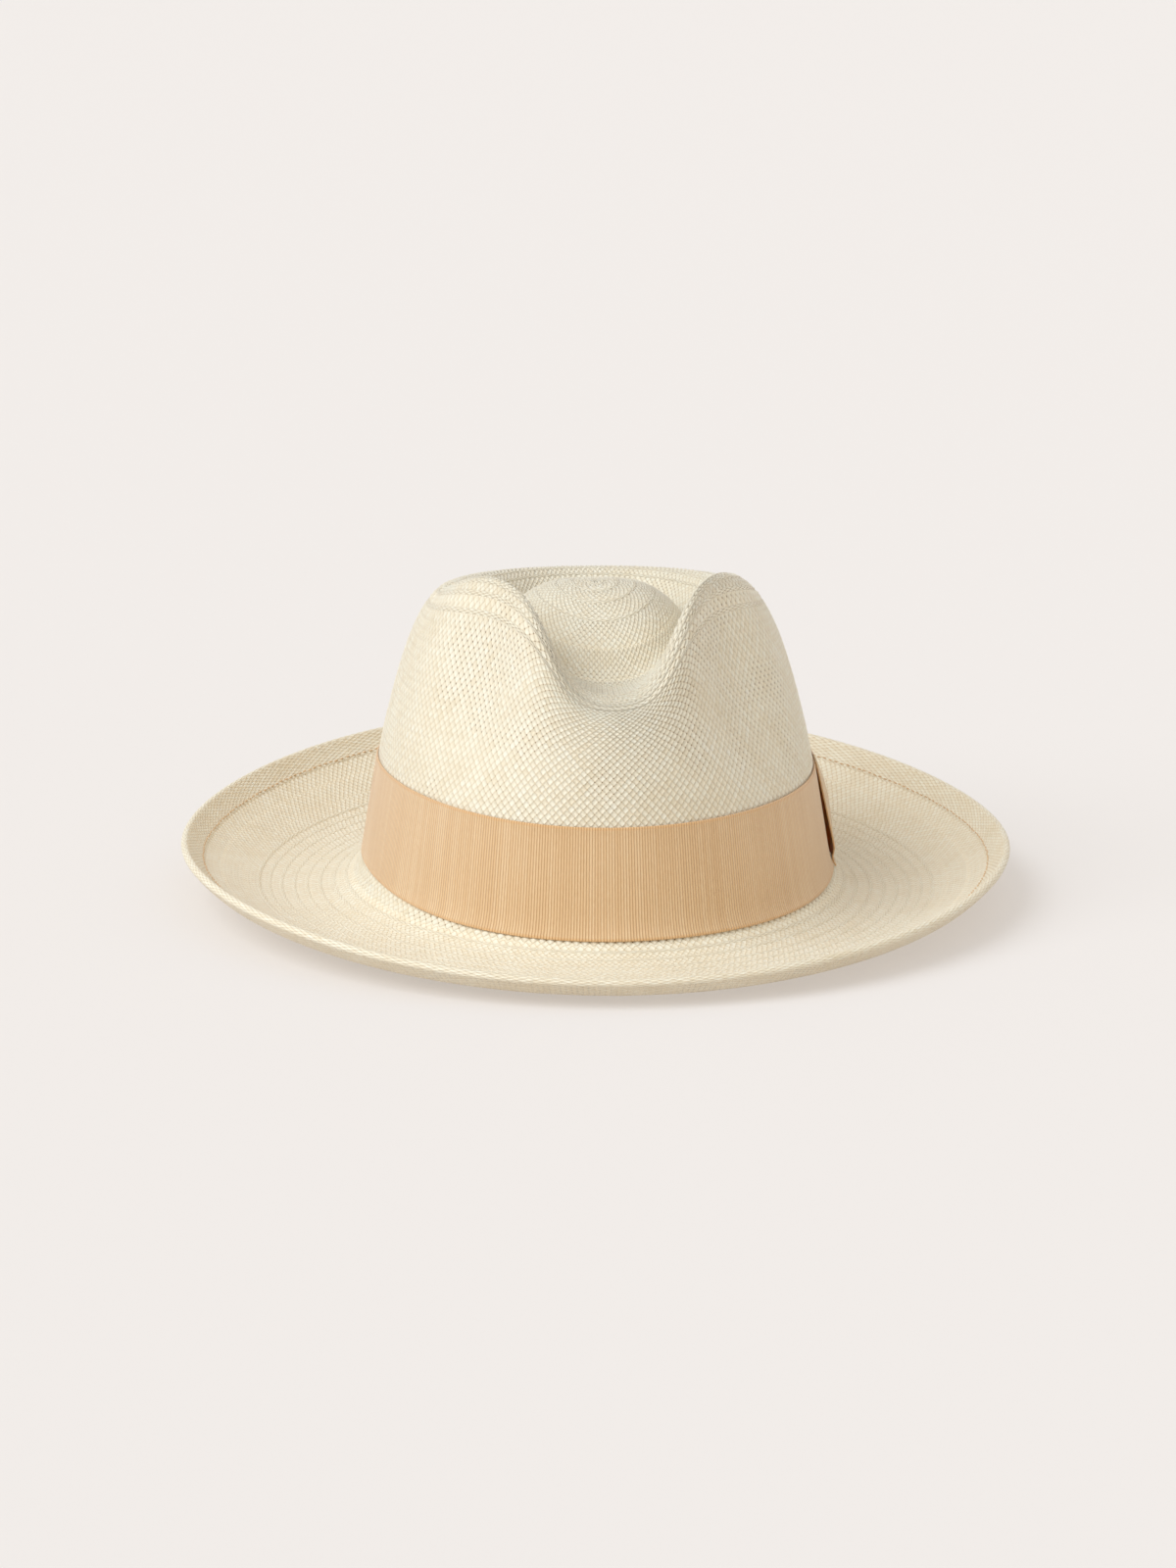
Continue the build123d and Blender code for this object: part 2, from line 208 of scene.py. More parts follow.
def add_uv(piece, name, corner_uv):
    """corner_uv holds one pair per face corner, in the mesh's own corner order."""
    layer = piece.data.uv_layers.new(name=name)
    layer.data.foreach_set("uv", np.asarray(corner_uv, np.float32).ravel())


def settle(piece, node):
    """The piece rides on the hat's one body and stands for a CAD node."""
    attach(piece, "root")
    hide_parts(node)
    return piece


def grid_object(name, points, material, closed=False, uv=None, flip=False, smooth=True):
    """Sheet from a (rows, columns, 3) grid. uv maps row and column numbers to a pair."""
    rows, columns = points.shape[:2]
    spans = columns if closed else columns - 1
    row, column = np.meshgrid(np.arange(rows - 1), np.arange(spans), indexing="ij")
    row, column = row.ravel(), column.ravel()
    corners = [(row, column), (row, column + 1), (row + 1, column + 1), (row + 1, column)]
    if flip:
        corners.reverse()
    faces = np.stack([r * columns + c % columns for r, c in corners], axis=1)
    piece = make_object(name, points.reshape(-1, 3), faces.tolist(), material, smooth)
    if uv:
        for layer, mapping in uv.items():
            pairs = [np.stack(mapping(r.astype(float), c.astype(float)), axis=-1) for r, c in corners]
            add_uv(piece, layer, np.stack(pairs, axis=1).reshape(-1, 2))
    return piece


def weld(piece):
    """Close a shell whose last row or column repeats its first."""
    shell = bmesh.new()
    shell.from_mesh(piece.data)
    bmesh.ops.remove_doubles(shell, verts=shell.verts, dist=0.001 * MM)
    shell.to_mesh(piece.data)
    shell.free()
    return piece


def join(name, pieces):
    """One object from several, keeping their UV layers."""
    for other in bpy.context.selected_objects:
        other.select_set(False)
    for piece in pieces:
        piece.select_set(True)
    bpy.context.view_layer.objects.active = pieces[0]
    bpy.ops.object.join()
    pieces[0].name = name
    pieces[0].data.name = name
    return pieces[0]


# ---- node helpers
class Nodes:
    """Small wrapper that keeps material code short."""

    def __init__(self, name):
        self.material = bpy.data.materials.new(name)
        self.material.use_nodes = True
        self.tree = self.material.node_tree
        self.shader = self.tree.nodes["Principled BSDF"]

    def link(self, value, socket):
        if isinstance(value, bpy.types.NodeSocket):
            self.tree.links.new(value, socket)
        else:
            socket.default_value = value

    def add(self, kind, **settings):
        node = self.tree.nodes.new(kind)
        for key, value in settings.items():
            setattr(node, key, value)
        return node

    def feed(self, node, *values):
        """Values into the node's first inputs."""
        for value, socket in zip(values, node.inputs):
            self.link(value, socket)
        return node.outputs[0]

    def math(self, operation, a, b=0.0, c=0.0):
        return self.feed(self.add("ShaderNodeMath", operation=operation), a, b, c)

    def weigh(self, *pairs):
        """Sum of values, each times its weight."""
        total = 0.0
        for value, weight in pairs:
            total = self.math("MULTIPLY_ADD", value, weight, total)
        return total

    def from_middle(self, value, middle=0.5):
        return self.math("ABSOLUTE", self.math("SUBTRACT", value, middle))

    def place(self):
        return self.add("ShaderNodeTexCoord").outputs["Object"]

    def split_uv(self, layer):
        uv = self.add("ShaderNodeUVMap", uv_map=layer)
        apart = self.add("ShaderNodeSeparateXYZ")
        self.link(uv.outputs[0], apart.inputs[0])
        return apart.outputs[0], apart.outputs[1]

    def combine(self, *values):
        return self.feed(self.add("ShaderNodeCombineXYZ"), *values)

    def noise(self, vector, scale, detail=2.0, roughness=0.5):
        node = self.add("ShaderNodeTexNoise")
        self.link(vector, node.inputs["Vector"])
        node.inputs["Scale"].default_value = scale
        node.inputs["Detail"].default_value = detail
        node.inputs["Roughness"].default_value = roughness
        return node.outputs[0]

    def random(self, vector):
        return self.feed(self.add("ShaderNodeTexWhiteNoise", noise_dimensions="3D"), vector)

    def ramp(self, factor, stops):
        node = self.add("ShaderNodeValToRGB")
        self.link(factor, node.inputs[0])
        ramp = node.color_ramp
        while len(ramp.elements) < len(stops):
            ramp.elements.new(0.5)
        for element, (position, colour) in zip(ramp.elements, stops):
            element.position = position
            element.color = (*colour, 1)
        return node.outputs[0]

    def mix(self, factor, a, b, blend="MIX"):
        node = self.add("ShaderNodeMix", data_type="RGBA", blend_type=blend)
        self.link(factor, node.inputs[0])
        self.link((*a, 1) if isinstance(a, tuple) else a, node.inputs[6])
        self.link((*b, 1) if isinstance(b, tuple) else b, node.inputs[7])
        return node.outputs[2]

    def smooth(self, value, low, high, to_low=0.0, to_high=1.0):
        node = self.add("ShaderNodeMapRange", interpolation_type="SMOOTHSTEP")
        return self.feed(node, value, low, high, to_low, to_high)

    def bump(self, height, distance, strength=1.0):
        node = self.add("ShaderNodeBump")
        node.inputs["Strength"].default_value = strength
        node.inputs["Distance"].default_value = distance
        self.link(height, node.inputs["Height"])
        return node.outputs[0]

    def finish(self, colour, roughness, normal, **plain):
        self.link(colour, self.shader.inputs["Base Color"])
        self.link(roughness, self.shader.inputs["Roughness"])
        self.link(normal, self.shader.inputs["Normal"])
        for key, value in plain.items():
            self.shader.inputs[key.replace("_", " ").title()].default_value = value
        return self.material


def srgb(red, green, blue):
    """Linear colour from 8-bit sRGB values."""
    return tuple(((c / 255 + 0.055) / 1.055) ** 2.4 if c > 10 else c / 3294 for c in (red, green, blue))


# ---- materials
def straw_material(name, warmth=0.0, depth=0.36 * MM, valley_shade=0.5, hole_shade=1.0):
    """Plain weave of split straw. The weave UV layer counts strands in both directions."""
    n = Nodes(name)
    u, v = n.split_uv("weave")
    in_u, in_v = n.math("FRACT", u), n.math("FRACT", v)
    cell_u, cell_v = n.math("FLOOR", u), n.math("FLOOR", v)
    over = n.math("MODULO", n.math("ABSOLUTE", n.math("ADD", cell_u, cell_v)), 2.0)

    def pick(when_over, when_under):
        node = n.add("ShaderNodeMix", data_type="FLOAT")
        for value, socket in zip((over, when_under, when_over), node.inputs[:1] + node.inputs[2:4]):
            n.link(value, socket)
        return node.outputs[0]

    across, along = pick(in_v, in_u), pick(in_u, in_v)
    strand = pick(cell_v, cell_u)
    off_across, off_along = n.from_middle(across), n.from_middle(along)

    strand_random = n.random(n.combine(strand, over, 3.0))
    cell_random = n.random(n.combine(cell_u, cell_v, 7.0))
    fibre = n.noise(n.combine(n.math("MULTIPLY", across, 7.0), n.math("MULTIPLY", along, 0.9), strand),
                    2.2, 3.0, 0.6)
    place = n.place()
    patch = n.noise(place, 55.0, 2.0)

    tone = n.weigh((strand_random, 0.3), (cell_random, 0.22), (patch, 0.5))
    colour = n.ramp(tone, [(0.0, STRAW_DARK), (0.35, STRAW_MID), (0.7, STRAW_LIGHT), (1.0, STRAW_PALE)])
    colour = n.mix(n.smooth(fibre, 0.3, 0.72, 0.0, 0.22), colour, STRAW_STREAK)
    # Painted shade in the weave's holes: the holes are real openings between the strands, and their dark
    # colour, stronger in some patches, stands in for the shade inside them.
    gap_shade_patches = n.smooth(n.noise(place, 38.0, 2.0), 0.42, 0.6, 0.1, 1.0)
    gap_shade_mask = n.smooth(n.math("MULTIPLY", n.math("MULTIPLY", off_across, off_along), 4.0), 0.58, 0.9)
    round_across = n.math("SUBTRACT", 1.0, n.math("POWER", n.math("MULTIPLY", off_across, 2.0), 2.0))
    round_along = n.math("POWER", n.math("MULTIPLY", off_along, 2.0), 3.0)
    bead = n.math("MULTIPLY", round_across, n.math("SUBTRACT", 1.0, n.math("MULTIPLY", round_along, 0.7)))
    # Painted shade: the colour darkens off each pillow's middle towards the valleys between the strands,
    # where shade would fall.
    colour = n.mix(n.smooth(bead, 0.0, 0.6, valley_shade, 0.0), colour, STRAW_VALLEY_SHADE)
    colour = n.mix(n.math("MULTIPLY", n.math("MULTIPLY", gap_shade_mask, gap_shade_patches), hole_shade), colour, STRAW_GAP_SHADE)
    if warmth:
        colour = n.mix(warmth, colour, srgb(214, 180, 132), "MULTIPLY")

    normal = n.bump(n.weigh((bead, 1.0), (fibre, 0.16)), depth)
    roughness = n.smooth(fibre, 0.2, 0.9, 0.46, 0.66)
    return n.finish(colour, roughness, normal, Sheen_weight=0.2, Sheen_roughness=0.5)


def ribbon_material(name, glow):
    """Grosgrain: ribs across the ribbon. The ribbon UV layer is in millimetres, rib count first."""
    n = Nodes(name)
    x, y = n.split_uv("ribbon")
    phase = n.math("DIVIDE", x, RIB_PITCH)
    rib = n.math("FLOOR", phase)
    off_rib = n.from_middle(n.math("FRACT", phase))
    ridge = n.math("SUBTRACT", 1.0, n.math("POWER", n.math("MULTIPLY", off_rib, 2.0), 2.4))
    threads = n.math("SINE", n.math("MULTIPLY", y, 2 * math.pi / 0.32))
    rib_random = n.random(n.combine(rib, 1.0, 5.0))
    fuzz = n.noise(n.combine(x, n.math("MULTIPLY", y, 0.3), 0.0), 1.6, 4.0, 0.68)
    cloud = n.noise(n.combine(x, n.math("MULTIPLY", y, 0.6), 4.0), 0.06, 2.0)
    tone = n.weigh((rib_random, 0.16), (fuzz, 0.6), (cloud, 0.24))
    colour = n.ramp(tone, [(0.15, RIBBON_DARK), (0.5, RIBBON_MID), (0.85, RIBBON_LIGHT)])
    # Painted shade in the grooves between the ribs.
    colour = n.mix(n.smooth(off_rib, 0.24, 0.5, 0.0, 0.6), colour, RIBBON_GROOVE_SHADE)
    half = RIBBON_HEIGHT / MM / 2
    selvedge = n.smooth(n.from_middle(y, half), half - 1.3, half - 0.5, 0.0, 0.45)
    colour = n.mix(selvedge, colour, RIBBON_SELVEDGE)
    normal = n.bump(n.weigh((ridge, 1.0), (threads, 0.05), (fuzz, 0.12)), 0.24 * MM, 0.9)
    roughness = n.smooth(fuzz, 0.2, 0.8, 0.55, 0.75)
    n.shader.inputs["Subsurface Radius"].default_value = (1.0, 0.55, 0.25)
    return n.finish(colour, roughness, normal, Sheen_weight=0.5, Sheen_roughness=0.5,
                    Subsurface_weight=glow, Subsurface_scale=2.0 * MM)


def leather_material(name, light, dark):
    """Fine-grained leather with pores and a worn sheen."""
    n = Nodes(name)
    place = n.place()
    cells = n.add("ShaderNodeTexVoronoi", feature="DISTANCE_TO_EDGE")
    n.link(place, cells.inputs["Vector"])
    cells.inputs["Scale"].default_value = 900
    cloud = n.noise(place, 60, 4.0, 0.6)
    pores = n.noise(place, 1400, 2.0)
    colour = n.ramp(cloud, [(0.3, srgb(*dark)), (0.7, srgb(*light))])
    crease = n.smooth(cells.outputs[0], 0.0, 0.12)
    colour = n.mix(n.math("MULTIPLY", n.math("SUBTRACT", 1.0, crease), 0.35), colour, srgb(*dark))
    height = n.weigh((crease, 0.7), (pores, 0.4))
    roughness = n.smooth(cloud, 0.3, 0.7, 0.42, 0.6)
    return n.finish(colour, roughness, n.bump(height, 0.08 * MM, 0.6))


def thread_material(name, light, dark):
    """Twisted thread or woven tape: fine diagonal ply lines."""
    n = Nodes(name)
    place = n.place()
    wave = n.add("ShaderNodeTexWave", wave_type="BANDS", bands_direction="DIAGONAL")
    n.link(place, wave.inputs["Vector"])
    wave.inputs["Scale"].default_value = 700
    wave.inputs["Distortion"].default_value = 1.5
    fuzz = n.noise(place, 1800, 3.0)
    tone = n.weigh((wave.outputs[1], 0.6), (fuzz, 0.4))
    colour = n.ramp(tone, [(0.2, srgb(*dark)), (0.8, srgb(*light))])
    roughness = n.smooth(fuzz, 0.2, 0.8, 0.6, 0.8)
    return n.finish(colour, roughness, n.bump(tone, 0.1 * MM, 0.7), Sheen_weight=0.2)


def plastic_material(name, light, dark):
    n = Nodes(name)
    place = n.place()
    cloud = n.noise(place, 220, 3.0)
    colour = n.ramp(cloud, [(0.3, srgb(*dark)), (0.7, srgb(*light))])
    return n.finish(colour, n.smooth(cloud, 0.3, 0.7, 0.4, 0.55), n.bump(cloud, 0.04 * MM, 0.5))


STRAW_DARK = srgb(230, 217, 184)
STRAW_MID = srgb(242, 231, 205)
STRAW_LIGHT = srgb(248, 242, 221)
STRAW_PALE = srgb(252, 249, 235)
STRAW_STREAK = srgb(236, 218, 182)
# painted shade seen in the weave's holes
STRAW_GAP_SHADE = srgb(118, 86, 48)
# painted shade in the valleys between the strands
STRAW_VALLEY_SHADE = srgb(217, 192, 148)
RIB_PITCH = 1.1  # millimetres, as the ribbon layer
RIBBON_DARK = srgb(210, 170, 120)
RIBBON_MID = srgb(226, 191, 144)
RIBBON_LIGHT = srgb(240, 214, 174)
# painted shade in the grooves between the ribs
RIBBON_GROOVE_SHADE = srgb(190, 130, 68)
RIBBON_SELVEDGE = srgb(218, 164, 98)

STRAW_CROWN = straw_material("straw_crown")
STRAW_BRIM = straw_material("straw_brim", depth=0.2 * MM, valley_shade=0.66, hole_shade=0.4)
STRAW_LINING = straw_material("straw_lining", warmth=0.12, depth=0.22 * MM)
GROSGRAIN = ribbon_material("grosgrain", 0.0)
BOW_GROSGRAIN = ribbon_material("bow_grosgrain", 0.35)
LEATHER = leather_material("sweatband_leather", (188, 140, 96), (150, 104, 66))
THREAD = thread_material("thread", (240, 218, 184), (218, 184, 142))
HEM_THREAD = thread_material("hem_thread", (230, 200, 160), (210, 172, 128))
TAPE = thread_material("tape", (222, 206, 172), (188, 166, 126))
INNER_RIBBON = thread_material("inner_ribbon", (214, 172, 122), (176, 132, 84))
REED = plastic_material("reed", (226, 220, 206), (206, 198, 180))
LABEL = thread_material("label", (240, 236, 226), (222, 216, 202))

# ---- woven straw
STRAND_CELL = 3.05 * MM  # width of one diamond of the weave on the crown wall
FINE_CELL = 2.5 * MM  # and on the top and the brim
HEM_CELL = 1.3 * MM  # and on the turned edge, drawn out round the rim
WIDE_WEAVE = (7.0, 13.2)  # rings between which the wide weave runs
PILLOW = 0.45 * MM  # height of the pillows on the crown
FLAT_PILLOW = 0.2 * MM  # and on the brim
HOLE_SHARE = -0.38  # level of the holes between them, to a pillow's height
PATTERN_START = {"zone": 40, "round": 500, "edge": 900, "step": 1300, "inside": 1700}
BAKE_RADIUS = 0.49  # of the bake layouts' discs, in UV units
TWINE = 1.9 * MM  # a turn of the raised rounds,
ROUND_HALF = 0.8 * MM  # half their width,
ROUND_RISE = 0.2 * MM  # their height
ROUND_TWIST = 0.04 * MM  # and how far their turns stand apart


def disc_uv(around, along, bake):
    """Bake layout of crown and brim, seen from above; bake is (start, end, share left free inside)."""
    start, end, inner = bake
    reach = BAKE_RADIUS * ((along - start) / (end - start) * (1 - inner) + inner)
    return 0.5 + reach * np.sin(around), 0.5 - reach * np.cos(around)


def weave_zone(name, start, end, material, bake, seed, out=0.0, underside=False, stretch=1):
    """Diamond weave between two rings, as pillows on a lattice; stretch draws its pattern out."""
    cell = STRAND_CELL if WIDE_WEAVE[0] < (start + end) / 2 < WIDE_WEAVE[1] else FINE_CELL
    cell = HEM_CELL if start >= HEM_RING else cell
    pillow = PILLOW if end <= BASE_RING else FLAT_PILLOW
    count = max(8, int(round(girth_at((start + end) / 2) / cell)))
    count -= count % stretch
    length = length_at(end) - length_at(start)
    rows = max(2, int(round(length / cell * 4)))
    row = np.arange(rows + 1)
    ring = ring_at(length_at(start) + length * row / rows)
    # p and q count quarter diamonds round the hat and out from its middle.
    slots = 2 * count
    p = 2 * np.arange(slots)[None] + (row % 2)[:, None]
    q = np.broadcast_to(row[:, None], p.shape)
    angle = p / (4 * count) * 2 * math.pi - math.pi
    i, j = (p + q) // 2, (p - q) // 2
    centre, corner = (i % 2 == 1) & (j % 2 == 1), (i % 2 == 0) & (j % 2 == 0)
    rng = np.random.default_rng(100 + seed)
    lump = pillow * (0.85 + 0.3 * rng.random(p.shape))
    height = np.where(centre, lump, np.where(corner, pillow * HOLE_SHARE, 0))
    height[0] = 0
    height[-1] = 0
    sign = -1 if underside else 1
    points = skin(np.broadcast_to(ring[:, None], p.shape), angle, out + sign * height)

    def vertex(pp, qq):
        return qq * slots + ((pp - qq % 2) // 2) % slots

    faces, corner_p, corner_q = [], [], []
    for here in range(rows + 1):
        pp = 2 * np.arange(slots) + 1 - here % 2
        left, right = (pp - 1, here), (pp + 1, here)
        up, down = (pp, here + 1), (pp, here - 1)
        loop = [left] + ([down] if here > 0 else []) + [right] + ([up] if here < rows else [])
        if underside:
            loop.reverse()
        faces += np.stack([vertex(a, np.full_like(pp, b)) for a, b in loop], axis=1).tolist()
        corner_p.append(np.stack([a for a, b in loop], axis=1).ravel())
        corner_q.append(np.stack([np.full_like(pp, b) for a, b in loop], axis=1).ravel())
    corner_p, corner_q = np.concatenate(corner_p), np.concatenate(corner_q)
    piece = make_object(name, points.reshape(-1, 3), faces, material)
    shift = PATTERN_START["zone"] + 2 * seed
    long_p = corner_p / stretch
    uv = np.stack([(long_p + corner_q) / 4 + shift, (long_p - corner_q) / 4 + shift + rows], axis=1)
    add_uv(piece, "weave", uv)
    around = corner_p / (4 * count) * 2 * math.pi - math.pi
    along = length_at(start) + length * corner_q / rows
    add_uv(piece, "OFBake", np.stack(disc_uv(around, along, bake), axis=1))
    return piece


def insertion_ring(name, ring, material, bake, seed, underside=False, out=0.0):
    """Raised round of twined straw where new strands are woven in."""
    columns = int(round(girth_at(ring) / TWINE))
    angle = once_round(columns)
    profile = [(-1, -0.1), (-0.55, 0.7), (0, 1), (0.55, 0.7), (1, -0.1)]
    middle = length_at(ring)
    rows = []
    sign = -1 if underside else 1
    for k, (offset, rise) in enumerate(profile):
        here = ring_at(middle + offset * ROUND_HALF)
        twist = ROUND_TWIST * np.where((np.arange(columns) + k) % 2 == 0, 1, -1) * (rise > 0)
        rows.append(skin(np.full(columns, here), angle, out + sign * (rise * ROUND_RISE + twist)))

    def weave_uv(r, c):
        return c / 2 + r / 2 + PATTERN_START["round"] + 2 * seed, c / 2 - r / 2 + PATTERN_START["round"]

    def bake_uv(r, c):
        return disc_uv(c / columns * 2 * math.pi - math.pi, middle + (r - 2) * ROUND_HALF / 2, bake)

    return grid_object(name, np.stack(rows), material, closed=True, flip=underside,
                       uv={"weave": weave_uv, "OFBake": bake_uv})


# Bake discs of crown and brim: inner and outer length out from the middle, share left free inside.
CROWN_BAKE = (0.0, float(length_at(BASE_RING)) + 2 * MM, 0.0)
BRIM_BAKE = (float(length_at(12.7)), float(length_at(EDGE)) + 2 * MM, 0.45)
CROWN_RINGS = [0.35, 0.9, 1.5, 2.2, 5.75, 6.1, 6.45, 6.8, 7.15, 7.5]
CROWN_SMOOTH = [3.1, 4.3]  # strands are added here without a raised round
TIP_RING = 0.02  # the weave starts just off the middle of the top
BRIM_RINGS = [13.25, 13.6, 13.95, 14.22, 14.47, 14.72, 14.97, 15.22]
BRIM_PLAIN = [15.6, 16.3]  # strands are added here without a raised round
HEM_STRETCH = 3  # how much the hem's pattern is drawn out


def woven(name, bounds, raised, material, bake, seed, out=0.0, underside=False):
    """Woven zones between the bounds, with raised rounds on some of them."""
    pieces = []
    for k, (start, end) in enumerate(zip(bounds[:-1], bounds[1:])):
        pieces.append(weave_zone(name, start, end, material, bake, seed + k, out, underside))
    for k, ring in enumerate(raised):
        pieces.append(insertion_ring(name, ring, material, bake, seed + k, underside, out))
    return join(name, pieces)


crown_bounds = sorted([TIP_RING] + CROWN_RINGS + CROWN_SMOOTH + [BASE_RING])
crown_weave = woven("crown_weave", crown_bounds, CROWN_RINGS, STRAW_CROWN, CROWN_BAKE, 1)
settle(crown_weave, "straw_body")

brim_bounds = [BASE_RING - 0.02] + BRIM_RINGS + BRIM_PLAIN + [HEM_RING]
brim_weave = woven("brim_weave", brim_bounds, BRIM_RINGS, STRAW_BRIM, BRIM_BAKE, 30)
settle(brim_weave, "straw_body")
hem_weave = weave_zone("hem_weave", HEM_RING, EDGE, STRAW_BRIM, BRIM_BAKE, 50, out=HEM_RISE,
                       stretch=HEM_STRETCH)
settle(hem_weave, "straw_body")

under_bounds = [BASE_RING] + BRIM_RINGS + BRIM_PLAIN + [HEM_RING]
brim_underside = woven("brim_underside", under_bounds, BRIM_RINGS[2:], STRAW_LINING, BRIM_BAKE, 60,
                       out=-STRAW, underside=True)
settle(brim_underside, "straw_body")
hem_underside = weave_zone("hem_underside", HEM_RING, EDGE, STRAW_LINING, BRIM_BAKE, 80,
                           out=HEM_RISE - HEM, underside=True, stretch=HEM_STRETCH)
settle(hem_underside, "straw_body")


# ---- rounded brim edge and hem steps
EDGE_NUB = 0.1 * MM  # bumps of single straws on the edge
EDGE_BULGE = 0.8  # the edge's depth, to a half round's
STEP_WANDER = 0.1 * MM  # waver of the step where the turned straw ends
STEP_HALF = 0.5 * MM  # half its width


def hem_edge():
    """Folded edge: half round in section, with the weave wrapping over it."""
    columns = int(round(girth_at(EDGE) / STRAND_CELL / HEM_STRETCH)) * 4 * HEM_STRETCH
    angle = once_round(columns)
    radius = HEM / 2
    steps = 9
    outward = surface(EDGE, angle) - surface(EDGE - 0.05, angle)
    outward /= np.linalg.norm(outward, axis=-1, keepdims=True)
    rows = []
    for k in range(steps):
        turn = math.pi * k / (steps - 1)
        nub = EDGE_NUB * np.sin(angle * columns / 4 + k * 1.3) * math.sin(turn)
        depth = HEM_RISE - radius * (1 - math.cos(turn))
        reach = radius * math.sin(turn) * EDGE_BULGE + nub
        rows.append(skin(EDGE, angle, depth) + outward * reach[:, None])

    def weave_uv(r, c):
        return c / 6 + r / 2 + PATTERN_START["edge"], c / 6 - r / 2 + PATTERN_START["edge"]

    return grid_object("hem_edge", np.stack(rows), STRAW_BRIM, closed=True, uv={"weave": weave_uv})


settle(hem_edge(), "straw_body")


def hem_step(name, out_low, out_high, underside):
    """Small ramp where the turned straw ends."""
    columns = 720
    angle = once_round(columns)
    here = length_at(HEM_RING)
    wander = STEP_WANDER * (np.sin(angle * 37) + np.sin(angle * 91 + 1))
    rows = []
    for offset, out in ((-STEP_HALF, out_low), (0.0, out_high), (STEP_HALF, out_high)):
        rows.append(skin(ring_at(here + offset + wander), angle, np.full(columns, out)))

    def weave_uv(r, c):
        return c / 2 + r / 2 + PATTERN_START["step"], c / 2 - r / 2 + PATTERN_START["step"]

    material = STRAW_LINING if underside else STRAW_BRIM
    return grid_object(name, np.stack(rows), material, closed=True, uv={"weave": weave_uv}, flip=underside)


step_top = hem_step("hem_step_top", -0.1 * MM, HEM_RISE, False)
step_under = hem_step("hem_step_under", -STRAW, HEM_RISE - HEM, True)
settle(join("hem_steps", [step_top, step_under]), "straw_body")


# ---- small swept pieces
SWEPT_START = (0.13, 0.27, 0.95)  # slanting, so it is never along a path
SWEPT_END = 0.55  # radius at the ends of a segment, to the rest


def swept(name, paths, radius, material, sides=8):
    """Thread segments with drawn-in ends, one for each short path of points."""
    points, faces = [], []
    for path in paths:
        path = np.asarray(path, float)
        ends = len(path) - 1
        tangents = np.gradient(path, axis=0)
        tangents /= np.linalg.norm(tangents, axis=1, keepdims=True)
        side = np.cross(tangents[0], SWEPT_START)
        side /= np.linalg.norm(side)
        base = len(points)
        for k, (point, tangent) in enumerate(zip(path, tangents)):
            side = side - tangent * side.dot(tangent)
            side /= np.linalg.norm(side)
            other = np.cross(tangent, side)
            r = radius * (SWEPT_END if k in (0, ends) else 1.0)
            for s in range(sides):
                a = 2 * math.pi * s / sides
                points.append(point + (side * math.cos(a) + other * math.sin(a)) * r)
        for k in range(ends):
            for s in range(sides):
                a, b = base + k * sides + s, base + k * sides + (s + 1) % sides
                faces.append((a, b, b + sides, a + sides))
        faces.append(tuple(base + s for s in reversed(range(sides))))
        faces.append(tuple(base + ends * sides + s for s in range(sides)))
    return make_object(name, points, faces, material)


STITCHES = 320
STITCH_RADIUS = 0.22 * MM
STITCH_INSET = 0.9 * MM  # from the hem's step
STITCH_LIFT = 0.35 * MM  # of their middles over their ends
STITCH_SHARE = 0.62  # of the pitch that a stitch takes up


def hem_stitches():
    """Running stitches that hold the hem, sunk a little into the straw."""
    rng = np.random.default_rng(5)
    here = length_at(HEM_RING) + STITCH_INSET
    lift = HEM_RISE + STITCH_LIFT * np.sin(np.linspace(0, math.pi, 5))
    half = math.pi / STITCHES * STITCH_SHARE
    paths = []
    for k in range(STITCHES):
        centre = (k + 0.5 + 0.2 * (rng.random() - 0.5)) / STITCHES * 2 * math.pi
        angle = centre + np.linspace(-half, half, 5) - math.pi
        ring = ring_at(here + 0.35 * MM * (rng.random() - 0.5))
        paths.append(skin(np.full(5, ring), angle, lift))
    return swept("hem_stitches", paths, STITCH_RADIUS, HEM_THREAD)


settle(hem_stitches(), "straw_body")


# ---- inside of the crown
INSIDE_STRANDS = 190  # strands once round the lining side


def crown_inside():
    rows, columns = 90, 240
    rings = ring_at(np.linspace(length_at(TIP_RING), length_at(BASE_RING + 0.05), rows))
    angle = once_round(columns)
    points = skin(rings[:, None], angle[None], np.full((rows, columns), -STRAW))

    def weave_uv(r, c):
        a = c / columns * INSIDE_STRANDS + PATTERN_START["inside"]
        b = r / rows * float(length_at(BASE_RING)) / STRAND_CELL
        return a + b, a - b

    return grid_object("crown_inside", points, STRAW_LINING, closed=True, uv={"weave": weave_uv}, flip=True)


settle(crown_inside(), "straw_body")


# ---- ribbon round the crown
WALL_LEVELS = (6.0, 38.0)  # heights (mm) where the straight wall is measured
FLARE = 1.8 * MM  # how far the wall turns out at its foot,
FLARE_REACH = 7.0 * MM  # this far below the lower level


def ring_of_level(level, angle):
    """Ring parameter where the crown wall has a height (mm) over its base."""
    rings = np.linspace(8.5, 13.6, 400)
    heights = (surface(rings, np.full(len(rings), angle))[:, 2] - BASE_Z) / MM
    return float(np.interp(-level, -heights, rings))


FOOT, TOP = ((surface(ring_of_level(level, math.pi / 2), math.pi / 2)[0],
              -surface(ring_of_level(level, 0.0), 0.0)[1]) for level in WALL_LEVELS)


